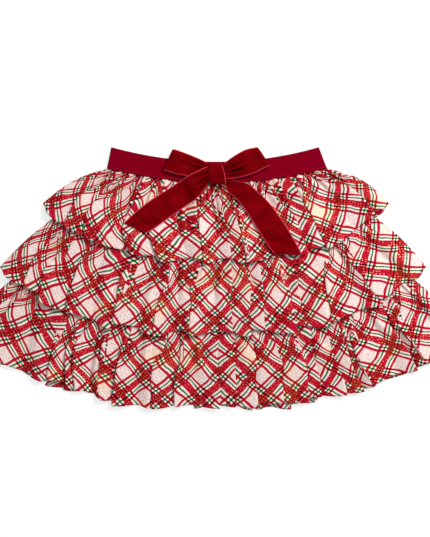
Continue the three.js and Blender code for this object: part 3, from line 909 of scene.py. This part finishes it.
# %% [markdown]
# ## Velvet bow
#
# The bow is a 28 mm velvet ribbon with a satin edge. Seen from straight above, flat velvet
# looks dark, because its pile stands towards the eye, and it lights up wherever it turns
# away, so the sheen does most of the work. The satin edges are a brighter, pinkish red. Each
# ribbon is a narrow sheet, given by the places of its two edges.

# %% Velvet material
VELVET = (0.13, 0.0005, 0.0022)
PILE = (0.75, 0.004, 0.012)
CREASE_SHADE_COLOR = (0.016, 0.0, 0.0006)
SATIN = (0.6, 0.035, 0.065)
RIBBON_WIDE = 28.0
SATIN_EDGE = 0.9 * MM
STROKE_SCALE = 55
STROKE_ANGLE = 0.3
STROKED = [(0.3, (0.8, 0.8, 0.8)), (0.7, (1.5, 1.4, 1.4))]
VELVET_ROUGH = 0.9
SATIN_POLISH = 0.5
SHEEN = 0.55
SHEEN_ROUGH = 0.35
PILE_SCALE = 2500
PILE_RISE = 0.1 * MM
PILE_BUMP = 0.3


def velvet_material():
    g = Graph("velvet_ribbon")
    cloth = g.cloth_point()
    _, across = g.axes(cloth)
    middle = RIBBON_WIDE * MM / 2
    from_middle = g.math("ABSOLUTE", g.math("SUBTRACT", across, middle))
    edge = g.math("GREATER_THAN", from_middle, middle - SATIN_EDGE)
    tone = g.ramp(g.noise(g.turned(cloth, STROKE_ANGLE), STROKE_SCALE, 3), STROKED)
    pile = g.mix(1.0, (*VELVET, 1), tone, "MULTIPLY")
    # Painted shade: the velvet turns almost black where its creases and pleats are deep.
    pile = g.mix(g.attribute("crease_shade"), pile, (*CREASE_SHADE_COLOR, 1))
    g.feed(g.shader.inputs["Base Color"], g.mix(edge, pile, (*SATIN, 1)))
    polish = g.math("MULTIPLY", edge, SATIN_POLISH)
    g.feed(g.shader.inputs["Roughness"], g.math("SUBTRACT", VELVET_ROUGH, polish))
    g.shader.inputs["Sheen Weight"].default_value = SHEEN
    g.shader.inputs["Sheen Roughness"].default_value = SHEEN_ROUGH
    g.shader.inputs["Sheen Tint"].default_value = (*PILE, 1)
    g.shader.inputs["Specular IOR Level"].default_value = 0.0
    g.bump(g.noise(cloth, PILE_SCALE, 2), PILE_BUMP, PILE_RISE)
    return g.material


VELVET_RIBBON = velvet_material()
print("velvet is ready")

# %% [markdown]
# A ribbon's stations are joined by a smooth curve. Creases run out from the knot as narrow
# dips that widen and die away: each has a start and an end across the ribbon, a length, a
# depth and a width, so no two are the same. The velvet is also painted darker the deeper a
# crease lies, as painted shade.

# %% Ribbon rules
RIBBON_THICK = 0.6
RIBBON_ROWS = 26
FULL_SHADE_DEPTH = 2.6
CREASE_SHADE_SHAPE = 1.5
CREASE_WIDENS = (0.7, 1.3)
CREASE_DIES = (0.35, 1)


def through(stations, count):
    """Points on a smooth curve through the stations, evenly spaced by station."""
    stations = np.array(stations, dtype=float)
    before, after = 2 * stations[:1] - stations[1:2], 2 * stations[-1:] - stations[-2:-1]
    ends = np.concatenate([before, stations, after])
    at = np.linspace(0, len(stations) - 1, count)
    k = np.minimum(at.astype(int), len(stations) - 2)
    f = (at - k)[:, None]
    a, b, c, d = ends[k], ends[k + 1], ends[k + 2], ends[k + 3]
    return b + 0.5 * f * (c - a + f * (2 * a - 5 * b + 4 * c - d + f * (3 * (b - c) + d - a)))


def creased(reach, across, creases):
    """Depth of the creases (mm) at a distance from the knot (mm) and a share across."""
    depth = 0 * reach * across
    for start, end, length, deep, width in creases:
        share = np.clip(reach / length, 0, 1)
        middle = start + (end - start) * share
        wide = width * np.interp(share, (0, 1), CREASE_WIDENS)
        dip = np.exp(-(((across - middle) / wide) ** 2))
        depth = depth + deep * dip * (1 - smooth(*CREASE_DIES, share))
    return depth


def ribbon_piece(name, points, depth, hidden=0.0):
    """A ribbon through the points. A hidden part of its width (mm) is turned under."""
    middle = points[points.shape[0] // 2]
    arc = np.append(0, np.linalg.norm(np.diff(middle, axis=0), axis=1).cumsum())
    share = np.linspace(0, 1, points.shape[0])[:, None]
    across = hidden + (RIBBON_WIDE - hidden) * share
    flat = np.stack([arc[None, :] + 0 * share, across + 0 * arc], axis=-1)
    # Painted shade: the deeper the creases and pleats, the darker the velvet is painted.
    crease_shade = np.clip(depth / FULL_SHADE_DEPTH, 0, 1) ** CREASE_SHADE_SHAPE
    piece = cloth_piece(f"{name}_velvet", points, flat, RIBBON_THICK, VELVET_RIBBON, crease_shade)
    hand_over(piece, name)
    print(name, "ribbon length (mm):", round(arc[-1], 1))
    return piece, arc[-1]


print("ribbon (mm):", RIBBON_WIDE, "wide and", RIBBON_THICK, "thick")

# %% [markdown]
# Each loop starts at the knot, runs out flat, bends round and comes back over itself, puffed
# up. The places of its edges are given from the knot outwards.

# %% Bow loops
LOOPS = [
    {
        "name": "bow_loop_left",
        "low": 5.3,
        "upper": [(-6.2, 131.5), (-14, 135.2), (-25, 140), (-36, 144.2), (-44.0, 146.9)],
        "lower": [(-6.2, 111.5), (-14, 115), (-27, 116.2), (-41, 118.3), (-54.4, 122.6)],
        "outwards": -1,
        "creases": [
            # start and end across, length, depth, width
            (0.28, 0.2, 30, 1.8, 0.07),
            (0.52, 0.4, 42, 2.0, 0.09),
            (0.76, 0.84, 22, 1.8, 0.07),
        ],
    },
    {
        "name": "bow_loop_right",
        "low": 6.8,
        "upper": [(12.4, 130.4), (20, 136.4), (28, 141.6), (38, 146.6), (49.0, 149.0)],
        "lower": [(15.0, 112.6), (24, 113.2), (38, 116.4), (50, 120.9), (63.0, 127.6)],
        "outwards": 1,
        "creases": [
            (0.3, 0.22, 24, 1.6, 0.06),
            (0.6, 0.66, 34, 3.4, 0.06),
            (0.82, 0.8, 22, 2.6, 0.055),
            (0.42, 0.36, 30, 2.4, 0.05),
        ],
    },
]
LOOP_HIGH = 5.2
LOOP_COLUMNS = 40
LOOP_BEND = 14
LOOP_MOUTH = 0.8
LOOP_OPENED = 26
LOOP_BELLY = 0.18
LOOP_BELLY_SHAPE = 0.6
LOOP_CREASE_START = (-2, 2)


def loop_points(loop):
    upper = through(loop["upper"], LOOP_COLUMNS)
    lower = through(loop["lower"], LOOP_COLUMNS)
    across = np.linspace(0, 1, RIBBON_ROWS)[:, None, None]
    plan = upper + (lower - upper) * across
    reach = np.abs(plan[:, :, 0] - plan[:, :1, 0])
    share = across[:, :, 0]
    low = loop["low"] + RIBBON_THICK / 2
    belly = np.sin(np.pi * share) ** LOOP_BELLY_SHAPE
    under = low + 0 * reach
    opened = LOOP_MOUTH + (1 - LOOP_MOUTH) * smooth(0, LOOP_OPENED, reach)
    top = low + LOOP_HIGH * opened * (1 - LOOP_BELLY + LOOP_BELLY * belly)
    depth = creased(reach, share, loop["creases"]) * smooth(*LOOP_CREASE_START, reach)
    top = top - depth
    bend = np.linspace(0, np.pi, LOOP_BEND + 2)[None, 1:-1]
    half = (top[:, -1:] - under[:, -1:]) / 2
    end_x = plan[:, -1:, 0] + loop["outwards"] * half * np.sin(bend)
    end_y = plan[:, -1:, 1] + 0 * bend
    end_z = under[:, -1:] + half * (1 - np.cos(bend))
    x = np.concatenate([plan[:, :, 0], end_x, plan[:, ::-1, 0]], axis=1)
    y = np.concatenate([plan[:, :, 1], end_y, plan[:, ::-1, 1]], axis=1)
    z = np.concatenate([under, end_z, top[:, ::-1]], axis=1)
    back = 0 * np.concatenate([under, end_z], axis=1)
    return np.stack([x, y, z], axis=-1), np.concatenate([back, depth[:, ::-1]], axis=1)


for loop in LOOPS:
    piece, long = ribbon_piece(loop["name"], *loop_points(loop))

# %% [markdown]
# The tails hang out of the knot over the gathers. The left one crosses the left loop, the
# right one comes out from under the right loop, and both end in a slanted cut. They lie on the
# crests of the top ruffle, with a slow roll along them.

# %% Bow tails
TAILS = [
    {
        "name": "bow_tail_left",
        "stations": [
            # upper edge, lower edge, lift
            ((-6.2, 127.2), (-6.2, 104.8), 11.2),
            ((-14.5, 123.7), (-13.0, 96.0), 11.2),
            ((-29.0, 116.2), (-21.0, 88.8), 11.0),
            ((-47.0, 104.4), (-34.0, 79.4), 0),
            ((-70.2, 89.6), (-52.9, 66.4), 0),
            ((-88.0, 75.6), (-66.0, 56.8), 0),
            ((-102.7, 62.1), (-75.3, 51.2), 0),
        ],
        "creases": [
            (0.3, 0.12, 26, 1.5, 0.07),
            (0.54, 0.46, 24, 2.3, 0.075),
            (0.76, 0.72, 22, 2.3, 0.07),
            (0.93, 0.95, 14, 1.4, 0.05),
        ],
    },
    {
        "name": "bow_tail_right",
        "stations": [
            ((14.6, 112.2), (14.4, 105.4), 0),
            ((38.6, 108.2), (17.0, 98.6), 0),
            ((52.5, 97.4), (30.0, 86.6), 0),
            ((65.5, 84.6), (42.6, 68.6), 0),
            ((79.0, 66.2), (52.0, 53.4), 0),
            ((92.0, 45.4), (61.5, 38.4), 0),
            ((102.4, 25.6), (70.2, 27.0), 0),
        ],
        "creases": [(0.55, 0.35, 28, 1.2, 0.07), (0.8, 0.66, 22, 1.1, 0.05)],
    },
]
TAIL_COLUMNS = 90
TAIL_OVER_CREST = 0.9
TAIL_ROLL = 0.5
TAIL_ROLL_LONG = 11
TAIL_ROLL_TURN = 4
TAIL_ROLL_START = (20, 45)
TAIL_FULL = 1.2
TAIL_FULL_END = (12, 26)


def crest_height(x, y):
    """Top of the top ruffle's crests under a place on it."""
    tier = TIERS[0]
    edges = []
    for line in (tier["seam"], tier["hem"]):
        edges.append(smile(line, np.clip((x - line["shift"]) / line["half"], -1, 1)))
    down = np.clip((edges[0] - y) / (edges[0] - edges[1]), 0, 1)
    return height_at(tier, "low", down) + height_at(tier, "swing", down) + CLOTH_THICK


def tail_points(tail):
    uppers, lowers, lifts = zip(*tail["stations"])
    upper = through(uppers, TAIL_COLUMNS)
    lower = through(lowers, TAIL_COLUMNS)
    across = np.linspace(0, 1, RIBBON_ROWS)[:, None, None]
    plan = upper + (lower - upper) * across
    x, y = plan[:, :, 0], plan[:, :, 1]
    middle = plan[RIBBON_ROWS // 2]
    reach = np.append(0, np.linalg.norm(np.diff(middle, axis=0), axis=1).cumsum())[None, :]
    lift = through([[high] for high in lifts], TAIL_COLUMNS)[:, 0][None, :]
    resting = crest_height(x, y) + TAIL_OVER_CREST
    rolled = 1 + np.sin(reach / TAIL_ROLL_LONG + TAIL_ROLL_TURN * across[:, :, 0])
    roll = TAIL_ROLL * rolled * smooth(*TAIL_ROLL_START, reach)
    full = TAIL_FULL * (1 - smooth(*TAIL_FULL_END, reach))
    depth = creased(reach, across[:, :, 0], tail["creases"])
    z = np.maximum(lift, resting) + full + roll - depth
    return np.stack([x, y, z], axis=-1), depth


for tail in TAILS:
    piece, long = ribbon_piece(tail["name"], *tail_points(tail))

# %% [markdown]
# The knot is a short length of the same ribbon, wrapped once round the middle of the bow and
# pulled tight, so it is full of fine upright pleats. It could be made from a squashed ball, but
# then its satin edge would have nothing to follow, so it is a sheet like the other pieces,
# wrapped round a soft square. Its right satin edge shows, and its left one is turned under.

# %% Knot
KNOT = {"x": 4.0, "y": 118.4, "wide": 19.0, "high": 23.8, "low": 5.3, "top": 14.2}
KNOT_SLANT = 2.2
KNOT_FLARE = 0.8
KNOT_FLARE_START = 0.2
KNOT_EDGE_SHAPE = 8
KNOT_SINKS = (0.3, 0.1)
KNOT_NARROWS = (0.05, 0.06)
KNOT_HIDDEN = 2.0
KNOT_COLUMNS = 44
KNOT_ROUND = 96
KNOT_SQUARE = 0.55
KNOT_PLEATS = 7
KNOT_UNEVEN = 1.2
KNOT_PLEAT_DEPTH = 0.35


def squared(value):
    """Makes the round of a sine or cosine a rounded square."""
    return np.sign(value) * np.abs(value) ** KNOT_SQUARE


def knot_points():
    side = np.linspace(-1, 1, KNOT_COLUMNS)[:, None]
    angle = np.linspace(0, 2 * np.pi, KNOT_ROUND)[None, :] - np.pi / 2
    edge = np.abs(side) ** KNOT_EDGE_SHAPE
    pleats = np.sin(KNOT_PLEATS * np.pi * side + KNOT_UNEVEN * np.sin(2 * side))
    pleats = KNOT_PLEAT_DEPTH * (0.5 + 0.5 * pleats)
    high = (KNOT["top"] - KNOT["low"] - RIBBON_THICK) / 2
    high = high * (1 - KNOT_SINKS[0] * edge - KNOT_SINKS[1] * side**2)
    long = (KNOT["high"] - RIBBON_THICK) / 2
    long = long * (1 - KNOT_NARROWS[0] * edge - KNOT_NARROWS[1] * (1 - side**2))
    up = squared(np.cos(angle))
    z = (KNOT["low"] + KNOT["top"]) / 2 + (high - pleats) * squared(np.sin(angle))
    y = KNOT["y"] + (long - 0.5 * pleats) * up
    right, left = smooth(KNOT_FLARE_START, 1, side), smooth(KNOT_FLARE_START, 1, -side)
    slant = -KNOT_SLANT * (up + 0.5 * up**2) * right + KNOT_FLARE * up**2 * left
    x = KNOT["x"] + KNOT["wide"] / 2 * side + slant
    return np.stack([x + 0 * y, y, z], axis=-1), pleats + 0 * z


knot, long = ribbon_piece("bow_knot", *knot_points(), KNOT_HIDDEN)
